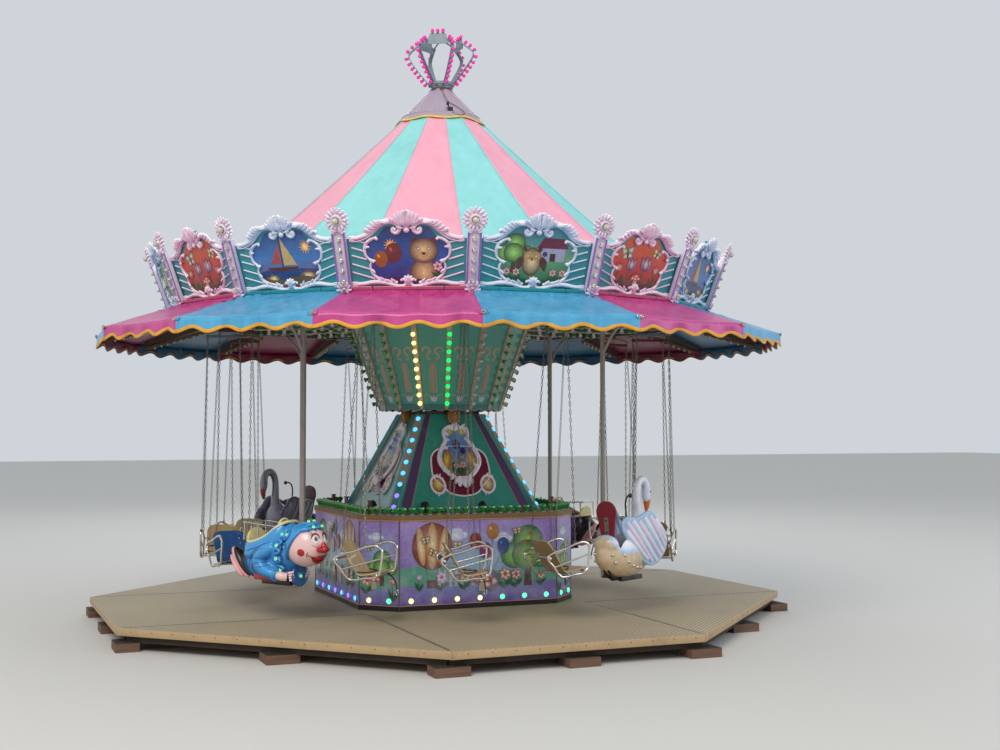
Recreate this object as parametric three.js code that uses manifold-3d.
// Children's chair swing ride: a square deck with cut corners, a painted centre box and tower,
// and a rotor with a tent roof, twelve chain chairs and four figure gondolas on steel poles.
// Millimetres, +Z up. The origin is on the ground, on the axis of the mast.
//
// Angles go anticlockwise seen from above, from the front (-Y) of the deck. What hangs from an
// arm is built at angle 0, where outward is -Y and the way of travel is +X, and is then turned.
import * as THREE from 'three';
import { mergeVertices } from 'three/addons/utils/BufferGeometryUtils.js';
import Module from 'manifold-3d';

const wasm = await Module();
wasm.setup();

// Driving dimensions
const GAP = 0.3;
const DECK_TOP = 180;
const DECK_THICK = 60;
const DECK_HALF = 3152;
const DECK_BAY = 1054;
const CORNER_CUT = DECK_HALF - DECK_BAY;

const BOX_APOTHEM = 1040;
const BOX_FACE_HALF = 760;
const BOX_WALL = 20;
const BOX_HEIGHT = 840;
const BOX_LID = 40;

const TOWER_FOOT_HALF = 715;
const TOWER_NECK_HALF = 315;
const TOWER_NECK_Z = DECK_TOP + 1740;
const MAST_RADIUS = 100;

const ARMS = 16;
const ARM_STEP = 360 / ARMS;
const FIRST_ARM = -14.5;
const ARM_TOP_Z = DECK_TOP + 2672;
const ARM_DEPTH = 66;
const ARM_WIDTH = 50;
const HUB_TOP_Z = DECK_TOP + 2750;
const BEARING_Z = DECK_TOP + 2300;

const BOARD_FOOT_R = 2551;
const BOARD_FOOT_Z = DECK_TOP + 2700;
const BOARD_LEAN = 20;
const EAVE_R = 3250;
const EAVE_Z = DECK_TOP + 2471;
const VALANCE_DROP = 100;
const CLOTH = 6;
const ARCHES = 4;
const ARCH_RISE = 40;

const FUNNEL_FOOT_R = 590;
const FUNNEL_FOOT_Z = DECK_TOP + 1800;
const FUNNEL_RIM_R = 850;
const FUNNEL_RIM_Z = DECK_TOP + 2560;

const ROOF_TOP_R = 364;
const ROOF_TOP_Z = DECK_TOP + 4620;
const CAP_TIP_Z = DECK_TOP + 4960;
const CROWN_TOP_Z = DECK_TOP + 5500;

const SEAT_R = 2075;
const PIN_Z = DECK_TOP + 2545;
const CHAIN_BAR_Z = DECK_TOP + 2480;
const CHAIN_BAR_HALF = 150;
const CHAIR_Z = DECK_TOP + 530;
const PIN_RADIUS = 6;
const PIN_SIDES = 5;
const PIN_HOLE = 7.8;
const CHAIR_HALF_WIDTH = 185;
const SEAT_HALF_WIDTH = 150;
const TUBE = 10;

const POLE_R = 1868;
const POLE_RADIUS = 22;
const FIGURE_R = 2110;
const SWAN_FOOT_Z = DECK_TOP + 325;
const CLOWN_FOOT_Z = DECK_TOP + 335;

// The awning's top side falls from the boards' foot to the eave
const AWNING_INNER = [BOARD_FOOT_R + 30, BOARD_FOOT_Z - 3];
const AWNING_SLOPE = (AWNING_INNER[1] - EAVE_Z) / (EAVE_R - AWNING_INNER[0]);
const underAwning = (r) => EAVE_Z - CLOTH + (EAVE_R - r) * AWNING_SLOPE;

const GONDOLAS = { 2: 'white_swan', 6: 'purple_clown', 10: 'grey_swan', 14: 'blue_clown' };

const ride = new THREE.Group();
const rad = THREE.MathUtils.degToRad;
const armAngle = (k) => FIRST_ARM + ARM_STEP * k;
const armNumbers = [...Array(ARMS).keys()];

// Solids: closed meshes with merged corners, joined and cut as manifolds

function solid(geometry) {
  const bare = geometry.index ? geometry.toNonIndexed() : geometry.clone();
  for (const name of Object.keys(bare.attributes)) {
    if (name !== 'position') bare.deleteAttribute(name);
  }
  const merged = mergeVertices(bare, 1e-3);
  const triangles = [];
  const index = merged.index.array;
  for (let i = 0; i < index.length; i += 3) {
    const [a, b, c] = [index[i], index[i + 1], index[i + 2]];
    if (a !== b && b !== c && c !== a) triangles.push(a, b, c);
  }
  if (signedVolume(merged.attributes.position.array, triangles) < 0) triangles.reverse();
  const mesh = new wasm.Mesh({
    numProp: 3,
    vertProperties: new Float32Array(merged.attributes.position.array),
    triVerts: new Uint32Array(triangles),
  });
  return new wasm.Manifold(mesh);
}

function signedVolume(xyz, triangles) {
  let six = 0;
  for (let i = 0; i < triangles.length; i += 3) {
    const [a, b, c] = [0, 1, 2].map((j) => new THREE.Vector3().fromArray(xyz, 3 * triangles[i + j]));
    six += a.dot(b.cross(c));
  }
  return six;
}

function geometryOf(manifold) {
  const mesh = manifold.getMesh();
  const geometry = new THREE.BufferGeometry();
  geometry.setAttribute('position', new THREE.BufferAttribute(mesh.vertProperties.slice(), 3));
  geometry.setIndex(new THREE.BufferAttribute(mesh.triVerts.slice(), 1));
  return geometry;
}

function joined(...parts) {
  return parts.flat().reduce((whole, part) => whole.add(part));
}

function cut(body, ...tools) {
  return tools.flat().reduce((rest, tool) => rest.subtract(tool), body);
}

function turned(body, degrees) {
  return body.rotate([0, 0, degrees]);
}

function onEveryArm(body, angles = armNumbers.map(armAngle)) {
  return joined(angles.map((angle) => turned(body, angle)));
}

function add(name, body, color, roughness = 0.6, metalness = 0) {
  const geometry = geometryOf(body);
  geometry.computeVertexNormals();
  const mesh = new THREE.Mesh(geometry, new THREE.MeshStandardMaterial({ color, roughness, metalness }));
  mesh.name = name;
  ride.add(mesh);
}

// Shapes

function block(x0, x1, y0, y1, z0, z1) {
  const geometry = new THREE.BoxGeometry(x1 - x0, y1 - y0, z1 - z0);
  geometry.translate((x0 + x1) / 2, (y0 + y1) / 2, (z0 + z1) / 2);
  return solid(geometry);
}

function rod(from, to, radius, sides = 8) {
  const a = new THREE.Vector3(...from);
  const b = new THREE.Vector3(...to);
  const geometry = new THREE.CylinderGeometry(radius, radius, a.distanceTo(b), sides);
  const along = b.clone().sub(a).normalize();
  geometry.applyQuaternion(new THREE.Quaternion().setFromUnitVectors(new THREE.Vector3(0, 1, 0), along));
  geometry.translate((a.x + b.x) / 2, (a.y + b.y) / 2, (a.z + b.z) / 2);
  return solid(geometry);
}

function beam(from, to, width, depth) {
  const a = new THREE.Vector3(...from);
  const b = new THREE.Vector3(...to);
  const geometry = new THREE.BoxGeometry(width, a.distanceTo(b), depth);
  const across = new THREE.Vector3(1, 0, 0);
  const along = b.clone().sub(a).normalize();
  if (Math.abs(along.dot(across)) > 0.99) across.set(0, 1, 0);
  across.addScaledVector(along, -across.dot(along)).normalize();
  const basis = new THREE.Matrix4().makeBasis(across, along, across.clone().cross(along));
  geometry.applyMatrix4(basis);
  geometry.translate((a.x + b.x) / 2, (a.y + b.y) / 2, (a.z + b.z) / 2);
  return solid(geometry);
}

function bentTube(points, radius, steps, sides) {
  const path = new THREE.CatmullRomCurve3(points.map((p) => new THREE.Vector3(...p)));
  const corner = (i) => (2 * Math.PI * (i + 0.5)) / sides;
  const section = new THREE.Shape([...Array(sides).keys()].map(
    (i) => new THREE.Vector2(radius * Math.cos(corner(i)), radius * Math.sin(corner(i)))));
  const options = { steps, bevelEnabled: false, extrudePath: path };
  return solid(new THREE.ExtrudeGeometry(section, options));
}

// A profile of [radius, height] points turned about the mast, with a corner on every arm
function turnedRing(profile, segments = ARMS, phase = FIRST_ARM) {
  return turnedSolid([...profile, profile[0]], segments, phase);
}

function turnedSolid(profile, segments = ARMS, phase = FIRST_ARM) {
  const points = profile.map(([r, z]) => new THREE.Vector2(r, z));
  const geometry = new THREE.LatheGeometry(points, segments, rad(phase));
  geometry.rotateX(Math.PI / 2);
  return solid(geometry);
}

function plate(outline, z0, z1) {
  const shape = new THREE.Shape(outline.map(([x, y]) => new THREE.Vector2(x, y)));
  const geometry = new THREE.ExtrudeGeometry(shape, { depth: z1 - z0, bevelEnabled: false });
  geometry.translate(0, 0, z0);
  return solid(geometry);
}

// An outline of [x, z] points, with holes, standing upright from y0 to y1
function standingPlate(outline, y0, y1, holes = []) {
  const flat = (points) => points.map(([x, z]) => new THREE.Vector2(x, z));
  const rim = flat(outline);
  if (THREE.ShapeUtils.isClockWise(rim)) rim.reverse();
  const shape = new THREE.Shape(rim);
  shape.holes = holes.map((points) => new THREE.Path(flat(points)));
  const geometry = new THREE.ExtrudeGeometry(shape, { depth: y1 - y0, bevelEnabled: false });
  geometry.rotateX(Math.PI / 2);
  geometry.translate(0, y1, 0);
  return solid(geometry);
}

// An outline of [y, z] points, standing along an arm, between x = -half and x = half
function armPlate(outline, half) {
  const sideways = outline.map(([y, z]) => [-y, z]);
  return standingPlate(sideways, -half, half).rotate([0, 0, -90]);
}

function egg(centre, half, wide = 8, high = 6) {
  const geometry = new THREE.SphereGeometry(1, wide, high);
  geometry.rotateX(Math.PI / 2);
  geometry.scale(...half);
  geometry.translate(...centre);
  return solid(geometry);
}

function cutCornerSquare(apothem, faceHalf) {
  return [
    [-faceHalf, -apothem], [faceHalf, -apothem], [apothem, -faceHalf], [apothem, faceHalf],
    [faceHalf, apothem], [-faceHalf, apothem], [-apothem, faceHalf], [-apothem, -faceHalf],
  ];
}

// Base frame: steel joists on timber packing blocks

function baseFrame() {
  const top = DECK_TOP - DECK_THICK - GAP;
  const foot = 70;
  const edge = DECK_HALF - 90;
  const joist = (x0, x1, y0, y1) => block(x0, x1, y0, y1, foot, top);
  const parts = [];
  for (const side of [-1, 1]) {
    const seam = side * DECK_BAY;
    parts.push(joist(-edge, edge, seam - 30, seam + 30), joist(seam - 30, seam + 30, -edge, edge));
    const far = [side * edge - 30, side * edge + 30];
    parts.push(joist(-DECK_BAY, DECK_BAY, ...far), joist(...far, -DECK_BAY, DECK_BAY));
  }
  parts.push(joist(-DECK_BAY, DECK_BAY, -60, 60), joist(-60, 60, -DECK_BAY, DECK_BAY));
  const height = (foot + top) / 2;
  for (const [sx, sy] of [[1, 1], [1, -1], [-1, 1], [-1, -1]]) {
    const from = [sx * DECK_BAY, sy * edge, height];
    const to = [sx * edge, sy * DECK_BAY, height];
    parts.push(beam(from, to, 50, top - foot));
  }
  const packing = (x, y, w, d) => block(x - w / 2, x + w / 2, y - d / 2, y + d / 2, 0, foot + 2);
  const middle = (DECK_BAY + edge) / 2;
  for (const s of [-1, 1]) {
    for (const t of [-1, 1]) {
      parts.push(packing(s * DECK_BAY, t * (edge + 20), 270, 190), packing(t * (edge + 20), s * DECK_BAY, 190, 270));
      parts.push(packing(s * DECK_BAY, t * DECK_BAY, 260, 260), packing(s * middle, t * middle, 260, 260));
    }
    parts.push(packing(0, s * (edge + 20), 260, 190), packing(s * (edge + 20), 0, 190, 260));
  }
  parts.push(packing(0, 0, 420, 420));
  return joined(parts);
}

// Deck: four bays, four cut corners and the centre plate that carries the box

function deckCentre() {
  const half = DECK_BAY - GAP;
  const square = [[-half, -half], [half, -half], [half, half], [-half, half]];
  const hole = cutCornerSquare(900, 640);
  const [z0, z1] = [DECK_TOP - DECK_THICK, DECK_TOP];
  return cut(plate(square, z0, z1), plate(hole, z0 - 1, z1 + 1));
}

function deckBay() {
  return block(-DECK_BAY + GAP, DECK_BAY - GAP, -DECK_HALF, -DECK_BAY - GAP, DECK_TOP - DECK_THICK, DECK_TOP);
}

function deckCorner() {
  const inner = DECK_BAY + GAP;
  const far = inner + CORNER_CUT - 3 * GAP;
  return plate([[inner, -inner], [inner, -far], [far, -inner]], DECK_TOP - DECK_THICK, DECK_TOP);
}

// Centre box, tower and mast

function boxWalls() {
  const z1 = DECK_TOP + BOX_HEIGHT - BOX_LID - GAP;
  const outer = plate(cutCornerSquare(BOX_APOTHEM, BOX_FACE_HALF), DECK_TOP + GAP, z1);
  const wallFace = BOX_FACE_HALF - BOX_WALL * Math.tan(rad(22.5));
  return cut(outer, plate(cutCornerSquare(BOX_APOTHEM - BOX_WALL, wallFace), DECK_TOP - 10, z1 + 10));
}

function boxLid() {
  const z0 = DECK_TOP + BOX_HEIGHT - BOX_LID;
  const lid = plate(cutCornerSquare(BOX_APOTHEM + 14, BOX_FACE_HALF + 6), z0, z0 + BOX_LID);
  return cut(lid, block(-500, 500, -500, 500, z0 - 10, z0 + BOX_LID + 10));
}

function squareFrustum(footHalf, neckHalf, z0, z1) {
  const root2 = Math.SQRT2;
  const geometry = new THREE.CylinderGeometry(neckHalf * root2, footHalf * root2, z1 - z0, 4);
  geometry.rotateY(Math.PI / 4);
  geometry.rotateX(Math.PI / 2);
  geometry.translate(0, 0, (z0 + z1) / 2);
  return solid(geometry);
}

function tower() {
  const z0 = DECK_TOP + BOX_HEIGHT + GAP;
  const wall = 18;
  const shell = squareFrustum(TOWER_FOOT_HALF, TOWER_NECK_HALF, z0, TOWER_NECK_Z);
  const strips = [];
  for (const angle of [45, 135, 225, 315]) {
    const foot = [0, -TOWER_FOOT_HALF * Math.SQRT2 + 22, z0 + 4];
    const neck = [0, -TOWER_NECK_HALF * Math.SQRT2 + 22, TOWER_NECK_Z - 4];
    strips.push(turned(beam(foot, neck, 74, 60), angle));
  }
  const slope = (TOWER_FOOT_HALF - TOWER_NECK_HALF) / (TOWER_NECK_Z - z0);
  const hollow = squareFrustum(
    TOWER_FOOT_HALF - wall + 10 * slope, TOWER_NECK_HALF - wall - 10 * slope, z0 - 10, TOWER_NECK_Z + 10);
  const trimmed = cut(joined(shell, ...strips), block(-2000, 2000, -2000, 2000, z0 - 200, z0));
  return cut(trimmed, hollow, block(-2000, 2000, -2000, 2000, TOWER_NECK_Z, TOWER_NECK_Z + 200));
}

function mast() {
  const foot = DECK_TOP - DECK_THICK;
  return turnedSolid([
    [0, foot], [190, foot], [190, foot + 30], [MAST_RADIUS, foot + 30], [MAST_RADIUS, BEARING_Z - 30],
    [170, BEARING_Z - 30], [170, BEARING_Z - GAP], [70, BEARING_Z - GAP], [70, HUB_TOP_Z - 60],
    [0, HUB_TOP_Z - 60],
  ], 12, 0);
}

// Four box horns, one over each tower face, on a square collar that sits on the neck
function hornSpeakers() {
  const half = TOWER_NECK_HALF - 24;
  const [z0, z1] = [TOWER_NECK_Z + GAP, TOWER_NECK_Z + 26];
  const collarSquare = [[-half, -half], [half, -half], [half, half], [-half, half]];
  const hole = MAST_RADIUS + 60;
  const collar = cut(plate(collarSquare, z0, z1), block(-hole, hole, -hole, hole, z0 - 5, z1 + 5));
  const [near, mouth] = [half - 70, half + 95];
  const horn = cut(
    joined(
      block(-58, 58, -mouth, -near, z0 - 78, z1),
      block(-58, 58, -near - 30, -near + 60, z0 + 2, z1)),
    block(-44, 44, -mouth - 10, -mouth + 70, z0 - 66, z1 - 12));
  const slope = (TOWER_FOOT_HALF - TOWER_NECK_HALF) / (TOWER_NECK_Z - DECK_TOP - BOX_HEIGHT);
  const neck = TOWER_NECK_HALF + 2 * GAP;
  const clearOfTower = cut(horn, squareFrustum(neck + 100 * slope, neck, z0 - 100, z0));
  return joined(collar, onEveryArm(clearOfTower, [0, 90, 180, 270]));
}

// Rotor frame: hub on the mast bearing, arms with outriggers, ring beam, chair lugs and pins

const RING_BEAM = [BOARD_FOOT_R - 76, BOARD_FOOT_R - 16];

function rotorFrame() {
  const armBottom = ARM_TOP_Z - ARM_DEPTH;
  const hub = turnedRing([[78, BEARING_Z], [160, BEARING_Z], [160, HUB_TOP_Z], [78, HUB_TOP_Z]], 12, 0);
  const tip = EAVE_R - 60;
  const clear = 2;
  const bend = AWNING_INNER[0] + (AWNING_INNER[1] - CLOTH - clear - ARM_TOP_Z) / AWNING_SLOPE;
  const tipTop = underAwning(tip) - clear;
  const arm = armPlate([
    [-120, armBottom], [-120, ARM_TOP_Z], [-bend, ARM_TOP_Z], [-tip, tipTop], [-tip, tipTop - 40],
    [-bend + 70, armBottom],
  ], ARM_WIDTH / 2);
  const lug = block(10, 18, -SEAT_R - 24, -SEAT_R + 24, PIN_Z - 14, armBottom + 4);
  const pin = rod([-14, -SEAT_R, PIN_Z], [14, -SEAT_R, PIN_Z], PIN_RADIUS, PIN_SIDES);
  const [r0, r1] = RING_BEAM;
  const outerRing = turnedRing([[r0, armBottom], [r1, armBottom], [r1, BOARD_FOOT_Z - GAP], [r0, BOARD_FOOT_Z - GAP]]);
  const cap = turnedSolid([[0, HUB_TOP_Z - 30], [120, HUB_TOP_Z - 30], [120, HUB_TOP_Z], [0, HUB_TOP_Z]], 12, 0);
  const chairArms = armNumbers.filter((k) => !GONDOLAS[k]).map(armAngle);
  return joined(hub, cap, outerRing, onEveryArm(arm), onEveryArm(joined(lug, pin), chairArms));
}

// Roof frame: king post on the hub, its head, and a rafter that stands on every arm

function roofFrame() {
  const foot = HUB_TOP_Z + GAP;
  const postRadius = 38;
  const footRadius = postRadius + 8;
  const footPlate = turnedSolid([[0, foot], [footRadius, foot], [footRadius, foot + 9], [0, foot + 9]], 12, 0);
  const post = rod([0, 0, foot], [0, 0, ROOF_TOP_Z - 30], postRadius, 6);
  const head = turnedSolid([
    [0, ROOF_TOP_Z - 60], [150, ROOF_TOP_Z - 50], [ROOF_TOP_R - 34, ROOF_TOP_Z - 30],
    [ROOF_TOP_R - 34, ROOF_TOP_Z - GAP], [0, ROOF_TOP_Z - GAP],
  ]);
  const rafter = beam([0, -BOARD_FOOT_R + 60, ARM_TOP_Z - 20], [0, -ROOF_TOP_R + 110, ROOF_TOP_Z - 45], 24, 30);
  const armTop = ARM_TOP_Z + GAP;
  const belowArms = block(-EAVE_R, EAVE_R, -EAVE_R, EAVE_R, armTop - 200, armTop);
  const [r0, r1] = RING_BEAM;
  const besideRing = turnedRing([[r0 - 2 * GAP, armTop - 5], [r1, armTop - 5], [r1, BOARD_FOOT_Z], [r0 - 2 * GAP, BOARD_FOOT_Z]]);
  const rafters = cut(onEveryArm(rafter), belowArms, besideRing);
  return joined(footPlate, post, head, rafters);
}

// Funnel: flared shell under the arms, with a lamp rib on every arm

function funnel() {
  const thick = 16;
  const top = FUNNEL_RIM_Z;
  const shell = turnedRing([
    [FUNNEL_FOOT_R, FUNNEL_FOOT_Z], [FUNNEL_RIM_R, top], [FUNNEL_RIM_R + 70, ARM_TOP_Z - ARM_DEPTH - GAP],
    [FUNNEL_RIM_R + 40, ARM_TOP_Z - ARM_DEPTH - GAP], [FUNNEL_RIM_R - thick, top],
    [FUNNEL_FOOT_R - thick, FUNNEL_FOOT_Z],
  ]);
  const stripTop = ARM_TOP_Z - ARM_DEPTH - GAP;
  const rib = (reach) => armPlate([
    [-FUNNEL_FOOT_R + 8, FUNNEL_FOOT_Z + 8], [-FUNNEL_RIM_R + 8, top], [-FUNNEL_RIM_R - 40, stripTop],
    [-reach, stripTop], [-reach, stripTop - 14], [-FUNNEL_RIM_R - 64, stripTop - 14],
    [-FUNNEL_RIM_R - 18, top - 4], [-FUNNEL_FOOT_R - 18, FUNNEL_FOOT_Z + 2],
  ], 23);
  const chairArms = armNumbers.filter((k) => !GONDOLAS[k]).map(armAngle);
  const gondolaArms = armNumbers.filter((k) => GONDOLAS[k]).map(armAngle);
  return joined(shell, onEveryArm(rib(SEAT_R - 40), chairArms), onEveryArm(rib(POLE_R - 80), gondolaArms));
}

// Tent roof, awning and its wavy valance

function roofCone() {
  const line = [[ROOF_TOP_R, ROOF_TOP_Z], [900, DECK_TOP + 4108], [1440, DECK_TOP + 3610],
    [2000, DECK_TOP + 3128], [BOARD_FOOT_R - 46, BOARD_FOOT_Z + CLOTH]];
  const inner = line.map(([r, z]) => [r - 6, z - CLOTH]).reverse();
  return turnedRing([...line, ...inner]);
}

function awning() {
  const [innerR, innerZ] = AWNING_INNER;
  const top = turnedRing([[innerR, innerZ], [EAVE_R, EAVE_Z], [EAVE_R, EAVE_Z - CLOTH], [innerR, innerZ - CLOTH]]);
  const apothem = EAVE_R * Math.cos(rad(ARM_STEP / 2));
  const overlap = 1.5;
  const half = EAVE_R * Math.sin(rad(ARM_STEP / 2)) + overlap;
  const points = 2 * ARCHES;
  const hem = [];
  for (let i = 0; i <= points; i += 1) {
    const wave = i % 2 === 0 ? ARCH_RISE / 2 : -ARCH_RISE / 2;
    hem.push([half - (2 * half * i) / points, EAVE_Z - VALANCE_DROP - wave]);
  }
  const outline = [[-half, EAVE_Z - 2], [half, EAVE_Z - 2], ...hem];
  const drop = standingPlate(outline, -apothem + 0.4, -apothem + CLOTH);
  return joined(top, onEveryArm(drop, armNumbers.map((k) => armAngle(k) + ARM_STEP / 2)));
}

// Rounding boards and the pilasters over their joints

function leaned(body, footR) {
  return body.rotate([BOARD_LEAN, 0, 0]).translate([0, -footR, BOARD_FOOT_Z + GAP]);
}

function roundingBoards() {
  const half = BOARD_FOOT_R * Math.sin(rad(ARM_STEP / 2));
  const apothem = BOARD_FOOT_R * Math.cos(rad(ARM_STEP / 2));
  const spread = 30;
  const right = [
    [half + spread, 420], [350, 470], [250, 545], [120, 560], [70, 640],
  ];
  const left = right.map(([x, z]) => [-x, z]).reverse();
  const sunk = 20;
  const outline = [[-half, -sunk], [half, -sunk], ...right, [0, 680], ...left];
  const board = leaned(standingPlate(outline, 0, 24), apothem);
  const row = onEveryArm(board, armNumbers.map((k) => armAngle(k) + ARM_STEP / 2));
  const below = turnedSolid([[0, 0], [EAVE_R, 0], [EAVE_R, BOARD_FOOT_Z + GAP], [0, BOARD_FOOT_Z + GAP]]);
  return cut(row, below);
}

function pilasters() {
  const front = 3.2;
  const rosette = [-55, -20, 20, 60, 90, 120, 160, 200, 235].map((a) => [100 * Math.cos(rad(a)), 565 + 100 * Math.sin(rad(a))]);
  const outline = [[-56, -30], [56, -30], [56, 470], ...rosette, [-56, 470]];
  const leaning = leaned(standingPlate(outline, -front - 34, -front), BOARD_FOOT_R);
  const railFoot = [BOARD_FOOT_R + 14, BOARD_FOOT_Z + 2];
  const rail = turnedRing([
    railFoot, [railFoot[0] + 34, railFoot[1]], [railFoot[0] + 50, railFoot[1] + 52],
    [railFoot[0] + 20, railFoot[1] + 52],
  ]);
  const below = turnedSolid([[0, 0], [EAVE_R, 0], [EAVE_R, railFoot[1]], [0, railFoot[1]]]);
  return cut(joined(rail, onEveryArm(leaning)), below);
}

// Cap and lamp crown

function roofCap() {
  return turnedSolid([
    [0, ROOF_TOP_Z + GAP], [ROOF_TOP_R + 14, ROOF_TOP_Z + GAP], [ROOF_TOP_R + 8, ROOF_TOP_Z + 20],
    [62, CAP_TIP_Z], [0, CAP_TIP_Z],
  ]);
}

function lampCrown() {
  const foot = CAP_TIP_Z + GAP;
  const hoop = (r, z, depth, width) => turnedRing(
    [[r - width, z], [r, z], [r, z + depth], [r - width, z + depth]], 12, 15);
  const rib = bentTube([
    [0, -112, foot + 16], [0, -190, foot + 90], [0, -268, foot + 200], [0, -296, foot + 320],
    [0, -262, foot + 430], [0, -170, foot + 480],
  ], 13, 7, 4);
  const disc = turnedSolid([[0, foot], [60, foot], [60, foot + 20], [0, foot + 20]], 6, 0);
  const spoke = beam([0, -40, foot + 10], [0, -116, foot + 14], 16, 12);
  const sixths = [0, 60, 120, 180, 240, 300];
  return joined(
    disc, hoop(128, foot, 26, 22), onEveryArm(spoke, sixths), onEveryArm(rib, sixths),
    hoop(190, foot + 460, CROWN_TOP_Z - foot - 460, 26));
}

// Chain chair, built at angle 0: frame with its chains and swinging bar, and the bent shell

function chairFrame() {
  const z = CHAIR_Z;
  const lift = (points) => points.map(([x, up]) => [x, z + up]);
  const outline = lift([[-210, 14], [-204, 34], [110, 132], [176, 122], [206, 84], [180, -96], [150, -118],
    [-60, -146], [-92, -132]]);
  const upper = lift([[-182, 22], [106, 112], [164, 104], [184, 76], [178, 34], [-142, -52]]);
  const lower = lift([[-132, -64], [174, 20], [158, -90], [-70, -124]]);
  const parts = [];
  for (const s of [-1, 1]) {
    const y = -SEAT_R + s * CHAIR_HALF_WIDTH;
    const barEnd = -SEAT_R + s * CHAIN_BAR_HALF;
    const chain = (x, up) => rod([x, y, z + up], [x * 0.08, barEnd, CHAIN_BAR_Z], 8, 3);
    parts.push(standingPlate(outline, y - TUBE, y + TUBE, [upper, lower]), chain(-140, 44), chain(60, 106));
  }
  const cross = (x, up, width) => beam(
    [x, -SEAT_R - CHAIR_HALF_WIDTH, z + up], [x, -SEAT_R + CHAIR_HALF_WIDTH, z + up], width, width);
  parts.push(cross(-192, 20, 14), cross(160, -100, 14), cross(0, -125.5, 14));
  const [end, low, high] = [CHAIN_BAR_HALF + 12, CHAIN_BAR_Z - 12, PIN_Z + 13];
  const halfSide = 180 / PIN_SIDES;
  const hole = rod([-20, 0, 0], [20, 0, 0], PIN_HOLE, PIN_SIDES).rotate([halfSide, 0, 0]).translate([0, -SEAT_R, PIN_Z]);
  const barFrame = cut(
    block(-8, 8, -SEAT_R - end, -SEAT_R + end, low, high),
    block(-20, 20, -SEAT_R - end + 24, -SEAT_R + end - 24, low + 24, high - 26), hole);
  return joined(parts, barFrame);
}

function chairShell() {
  const half = SEAT_HALF_WIDTH;
  const z = CHAIR_Z;
  const outline = [
    [-186, 150], [-174, 154], [-20, -92], [4, -106], [168, -78], [174, -89], [0, -118], [-32, -104],
  ].map(([x, up]) => [x, z + up]);
  return standingPlate(outline, -SEAT_R - half, -SEAT_R + half);
}

// Figure gondolas on rigid poles, built at angle 0

function gondolaPole(footZ) {
  const armBottom = ARM_TOP_Z - ARM_DEPTH - GAP;
  const pole = rod([0, -POLE_R, footZ - 28], [0, -POLE_R, armBottom], POLE_RADIUS, 8);
  const brace = bentTube([
    [0, -POLE_R - 6, armBottom - 330], [0, -POLE_R - 120, armBottom - 150], [0, -POLE_R - 290, armBottom - 14],
  ], 12, 3, 4);
  const flange = block(-60, 60, -POLE_R - 60, -POLE_R + 60, armBottom - 14, armBottom);
  const braceFoot = block(-30, 30, -POLE_R - 330, -POLE_R - 250, armBottom - 12, armBottom);
  const cradle = joined(
    block(-18, 18, -FIGURE_R - 60, -POLE_R + 10, footZ - 40, footZ - 4),
    block(-170, 170, -FIGURE_R - 60, -FIGURE_R - 24, footZ - 40, footZ - GAP),
    block(-170, 170, -FIGURE_R + 24, -FIGURE_R + 60, footZ - 40, footZ - GAP));
  return joined(pole, brace, flange, braceFoot, cradle);
}

function swanShell() {
  const z = SWAN_FOOT_Z;
  const y = -FIGURE_R;
  const hull = egg([-70, y, z + 200], [345, 184, 214], 12, 8);
  const breast = egg([140, y, z + 330], [130, 146, 180]);
  // the wings stand against the hull and flare outwards at the front
  const flare = 10;
  const wing = (s) => standingPlate([
    [-150, z + 450], [-95, z + 503], [-20, z + 494], [76, z + 548], [150, z + 506], [238, z + 414],
    [292, z + 300], [238, z + 177], [141, z + 104], [40, z + 126], [-37, z + 214], [-105, z + 320],
  ], -20, 20).rotate([0, 0, s * flare]).translate([0, y + s * 174, 0]);
  const neck = bentTube([
    [160, y, z + 420], [180, y, z + 580], [172, y, z + 720], [216, y, z + 806], [294, y, z + 808],
    [338, y, z + 752], [340, y, z + 690],
  ], 37, 7, 6);
  const head = egg([340, y, z + 680], [46, 43, 68], 6, 5);
  const beak = rod([344, y, z + 640], [334, y, z + 540], 24, 5);
  const tail = egg([-330, y, z + 290], [76, 126, 84], 6, 5);
  const well = joined(
    block(-310, 70, y - 128, y + 128, z + 150, z + 700),
    block(-500, 500, y - 300, y + 300, z - 60, z));
  return cut(joined(hull, breast, wing(-1), wing(1), neck, head, beak, tail), well);
}

function backrest(footZ, footX, shape, low, high, slope) {
  const [foot, top, shoulder] = shape;
  const up = high - low;
  const panel = standingPlate([
    [-foot, 0], [foot, 0], [top, shoulder], [top - 8, up - 60], [top / 2, up], [-top / 2, up],
    [-top + 8, up - 60], [-top, shoulder],
  ], -12, 12);
  return panel.rotate([0, 0, 90]).rotate([0, -slope, 0]).translate([footX, -FIGURE_R, footZ + low]);
}

function clownShell() {
  const z = CLOWN_FOOT_Z;
  const y = -FIGURE_R;
  const body = egg([-105, y, z + 170], [335, 182, 190], 12, 8);
  const chest = egg([95, y, z + 230], [165, 176, 180]);
  const head = egg([300, y, z + 304], [188, 168, 182], 12, 7);
  const feet = (s) => egg([-412, y + s * 84, z + 120], [68, 56, 134], 6, 5);
  const arm = (s) => bentTube([
    [60, y + s * 165, z + 190], [130, y + s * 176, z + 95], [226, y + s * 112, z + 40],
  ], 44, 3, 5);
  const disc = rod([246, y, z + 38], [280, y, z + 50], 92, 10);
  const hands = rod([242, y - 120, z + 40], [242, y + 120, z + 40], 30, 5);
  const well = joined(
    block(-300, 60, y - 124, y + 124, z + 160, z + 700),
    block(-500, 500, y - 300, y + 300, z - 200, z));
  return cut(joined(body, chest, head, feet(-1), feet(1), arm(-1), arm(1), disc, hands), well);
}

// Assembly

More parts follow.
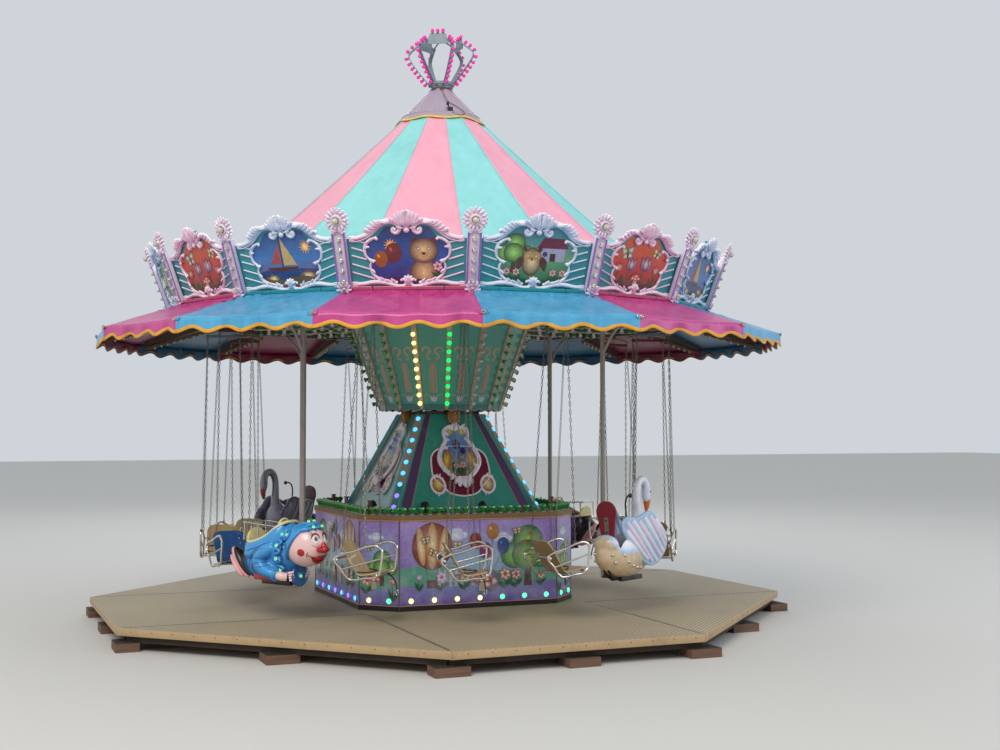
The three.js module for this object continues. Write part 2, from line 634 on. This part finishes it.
add('base_frame', baseFrame(), 0x4a3a30, 0.85);
add('deck_centre', deckCentre(), 0xc4a276, 0.7);
['front', 'right', 'back', 'left'].forEach((side, i) => {
  add(`deck_bay_${side}`, turned(deckBay(), 90 * i), 0xc4a276, 0.7);
});
['front_right', 'back_right', 'back_left', 'front_left'].forEach((corner, i) => {
  add(`deck_corner_${corner}`, turned(deckCorner(), 90 * i), 0xbc9a6c, 0.7);
});
add('box_walls', boxWalls(), 0x8f92b8, 0.5);
add('box_lid', boxLid(), 0xc8a070, 0.6);
add('tower_shell', tower(), 0x2f8a78, 0.5);
add('mast', mast(), 0x6a6660, 0.4, 0.8);
add('horn_speakers', hornSpeakers(), 0xa8701c, 0.4);

add('rotor_frame', rotorFrame(), 0x8a8078, 0.5, 0.6);
add('roof_frame', roofFrame(), 0x8a8078, 0.5, 0.6);
add('funnel', funnel(), 0x2f8a78, 0.5);
add('roof_cone', roofCone(), 0xf6a9b9, 0.8);
add('awning', awning(), 0xd9609f, 0.8);
add('rounding_boards', roundingBoards(), 0x2c9aa0, 0.5);
add('board_pilasters', pilasters(), 0xcfc4d6, 0.5);
add('roof_cap', roofCap(), 0xb5a3b6, 0.5);
add('lamp_crown', lampCrown(), 0x6f7f84, 0.4, 0.5);

let chairNumber = 0;
for (const k of armNumbers) {
  const figure = GONDOLAS[k];
  const angle = armAngle(k);
  if (!figure) {
    chairNumber += 1;
    const label = String(chairNumber).padStart(2, '0');
    const blue = k === 13;
    add(`chair_${label}_frame`, turned(chairFrame(), angle), 0xb8b4ac, 0.25, 0.9);
    add(`chair_${label}_shell`, turned(chairShell(), angle), blue ? 0x1e4e8c : 0xc8ae7c, 0.5);
  } else if (figure.endsWith('swan')) {
    add(`${figure}_pole`, turned(gondolaPole(SWAN_FOOT_Z), angle), 0x8a8078, 0.4, 0.7);
    add(`${figure}_shell`, turned(swanShell(), angle), figure.startsWith('white') ? 0xf2eef0 : 0x8c8894, 0.4);
    add(`${figure}_backrest`, turned(backrest(SWAN_FOOT_Z, -275, [56, 100, 210], 151.6, 630, 5), angle), 0x7a0f28, 0.5);
  } else {
    add(`${figure}_pole`, turned(gondolaPole(CLOWN_FOOT_Z), angle), 0x8a8078, 0.4, 0.7);
    add(`${figure}_shell`, turned(clownShell(), angle), figure.startsWith('blue') ? 0x3a9bdc : 0x6a2c6e, 0.4);
    add(`${figure}_backrest`, turned(backrest(CLOWN_FOOT_Z, -250, [96, 112, 120], 162.4, 430, 8), angle), 0xede0a8, 0.5);
  }
}

export default ride;
